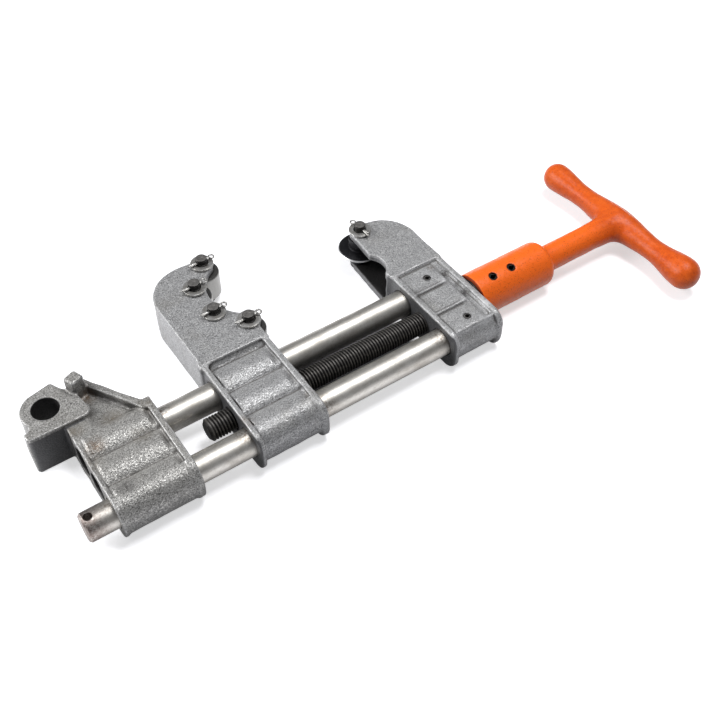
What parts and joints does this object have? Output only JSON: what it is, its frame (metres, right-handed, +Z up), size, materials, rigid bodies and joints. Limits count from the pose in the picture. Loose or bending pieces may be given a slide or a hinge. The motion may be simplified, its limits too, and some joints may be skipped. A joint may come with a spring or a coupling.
{
  "type": "hinged pipe cutter for a threading machine",
  "caption": "Hinged pipe cutter: cutting wheel and roller carriage on twin guide rods, closed by a feed screw with an orange T-handle.",
  "frame": {"origin": "middle of the bounding box on the plane the tool lies on", "axes": "+X along the guide rods towards the T-handle, +Y from the rods towards the jaws, +Z up from the lying face, along the pipe's axis"},
  "size_m": [0.5404, 0.246, 0.049],
  "materials": {
    "cast_grey": "silver-grey as-cast skin, coarse grain",
    "rod_steel": "ground bar, lightly oiled",
    "black_steel": "black oxide, satin",
    "zinc_plate": "bright zinc plate",
    "tool_steel": "hardened, dull grey",
    "orange_paint": "glossy orange enamel over a rough casting"
  },
  "bodies": {
    "bracket": {"hinge_bracket": "cast_grey"},
    "frame": {"wheel_frame": "cast_grey", "front_guide_rod": "rod_steel", "rear_guide_rod": "rod_steel", "front_rod_roll_pin": "black_steel", "rear_rod_roll_pin": "black_steel", "thrust_washer": "black_steel", "wheel_pin": "black_steel", "wheel_washer": "zinc_plate", "wheel_split_pin": "zinc_plate"},
    "carriage": {"roller_carriage": "cast_grey", "roller_pin_a": "black_steel", "roller_washer_a": "zinc_plate", "roller_split_pin_a": "zinc_plate", "roller_pin_b": "black_steel", "roller_washer_b": "zinc_plate", "roller_split_pin_b": "zinc_plate", "roller_pin_c": "black_steel", "roller_washer_c": "zinc_plate", "roller_split_pin_c": "zinc_plate", "roller_pin_d": "black_steel", "roller_washer_d": "zinc_plate", "roller_split_pin_d": "zinc_plate"},
    "drive": {"feed_screw": "black_steel", "t_handle": "orange_paint", "inner_handle_pin": "black_steel", "outer_handle_pin": "black_steel"},
    "roller_a": {"roller_a": "tool_steel"},
    "roller_b": {"roller_b": "tool_steel"},
    "roller_c": {"roller_c": "tool_steel"},
    "roller_d": {"roller_d": "tool_steel"},
    "wheel": {"cutter_wheel": "tool_steel"}
  },
  "joints": [
    {"name": "frame_float", "type": "slide", "parent": "bracket", "child": "frame", "axis": [1, 0, 0], "range_m": [-0.022, 0.013]},
    {"name": "handle_spin", "type": "hinge", "parent": "frame", "child": "drive", "pos_m": [0.16405, -0.03091, 0.02], "axis": [-1, 0, 0], "range_deg": [-2880, 15120]},
    {"name": "carriage_slide", "type": "slide", "parent": "frame", "child": "carriage", "axis": [1, 0, 0], "range_m": [-0.0205, 0.1055]},
    {"name": "roller_a_spin", "type": "hinge", "parent": "carriage", "child": "roller_a", "pos_m": [-0.08266, 0.10981, 0.019], "axis": [0, 0, 1], "continuous": true},
    {"name": "roller_b_spin", "type": "hinge", "parent": "carriage", "child": "roller_b", "pos_m": [-0.10125, 0.08762, 0.019], "axis": [0, 0, 1], "continuous": true},
    {"name": "roller_c_spin", "type": "hinge", "parent": "carriage", "child": "roller_c", "pos_m": [-0.10125, 0.05536, 0.019], "axis": [0, 0, 1], "continuous": true},
    {"name": "roller_d_spin", "type": "hinge", "parent": "carriage", "child": "roller_d", "pos_m": [-0.08266, 0.03317, 0.019], "axis": [0, 0, 1], "continuous": true},
    {"name": "wheel_spin", "type": "hinge", "parent": "frame", "child": "wheel", "pos_m": [0.04865, 0.07149, 0.019], "axis": [0, 0, 1], "continuous": true}
  ],
  "couplings": [
    {"joint": "carriage_slide", "follows": "handle_spin", "m_per_rad": 0.00039789}
  ]
}
